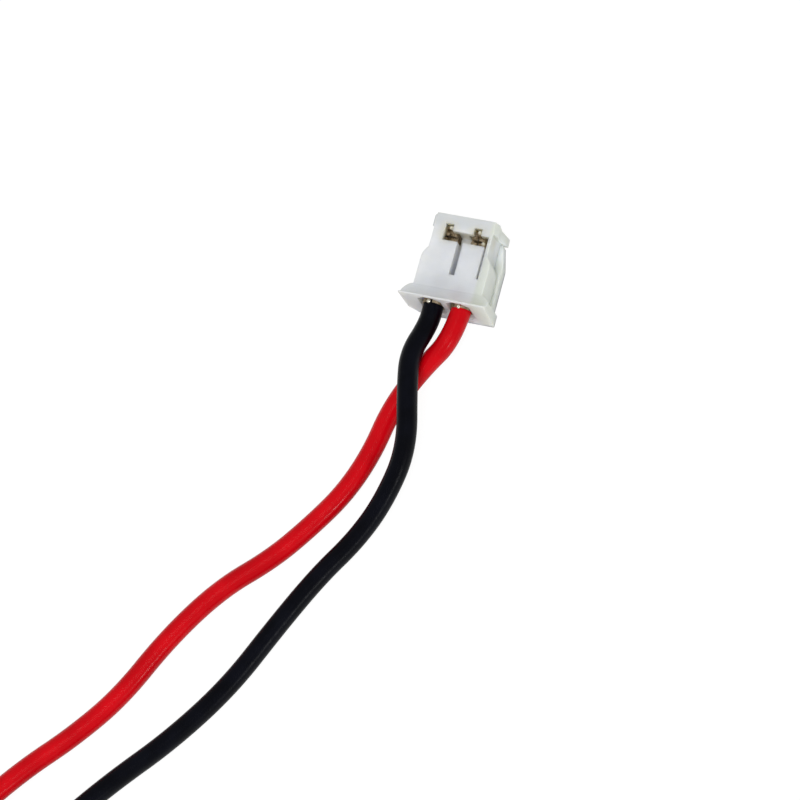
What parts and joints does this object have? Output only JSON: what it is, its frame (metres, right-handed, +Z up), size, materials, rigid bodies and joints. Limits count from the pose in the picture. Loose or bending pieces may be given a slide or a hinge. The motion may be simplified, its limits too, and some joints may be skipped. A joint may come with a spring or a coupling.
{
  "type": "lipo battery pack",
  "caption": "Flat soft-pouch lithium polymer pack with a taped protection board, red and black leads and a small white crimp plug.",
  "frame": {"origin": "middle of the pack's underside, halfway between the bare tail and the taped front face", "axes": "+X along the pack towards the end where the leads leave, +Y across it towards the red lead, +Z up from the surface it lies on"},
  "size_m": [0.0986, 0.0214, 0.006],
  "materials": {
    "pouch_foil": "satin laminated foil with a fine crinkle",
    "electrode_graphite": "matte coated foil",
    "electrode_oxide": "matte coated foil",
    "separator_film": "thin porous film",
    "aluminium_foil": "bright foil",
    "copper_foil": "bright copper foil",
    "nickel": "rolled nickel",
    "tab_sealant": "translucent sealant film",
    "insulating_paper": "pressed paper",
    "board_laminate": "solder mask over glass laminate",
    "tinned_copper": "tinned",
    "chip_epoxy": "moulded epoxy",
    "ceramic_chip": "fired ceramic with tinned ends",
    "edge_tape": "thin clear-backed tape",
    "label_film": "blank satin film",
    "polyimide": "amber polyimide tape",
    "natural_nylon": "translucent natural nylon, fine moulded texture",
    "bronze": "stamped phosphor bronze",
    "red_insulation": "soft semi-gloss wire insulation",
    "black_insulation": "soft semi-gloss wire insulation",
    "stranded_copper": "tinned strands"
  },
  "bodies": {
    "root": {"pouch_cup": "pouch_foil", "pouch_cover": "pouch_foil", "anode_sheets": "electrode_graphite", "cathode_sheets": "electrode_oxide", "separator_sheets": "separator_film", "positive_foil_tails": "aluminium_foil", "negative_foil_tails": "copper_foil", "positive_tab": "aluminium_foil", "negative_tab": "nickel", "positive_tab_seal": "tab_sealant", "negative_tab_seal": "tab_sealant", "board_insulator": "insulating_paper", "protection_board": "board_laminate", "board_pads": "tinned_copper", "weld_plates": "nickel", "guard_chip": "chip_epoxy", "switch_chip": "chip_epoxy", "resistors": "ceramic_chip", "capacitor": "ceramic_chip", "solder_joints": "tinned_copper", "left_edge_tape": "edge_tape", "right_edge_tape": "edge_tape", "label_sleeve": "label_film", "polyimide_tape": "polyimide", "plug_housing": "natural_nylon", "red_contact": "bronze", "black_contact": "bronze", "red_lead_insulation": "red_insulation", "black_lead_insulation": "black_insulation", "red_lead_conductor": "stranded_copper", "black_lead_conductor": "stranded_copper"}
  },
  "joints": []
}
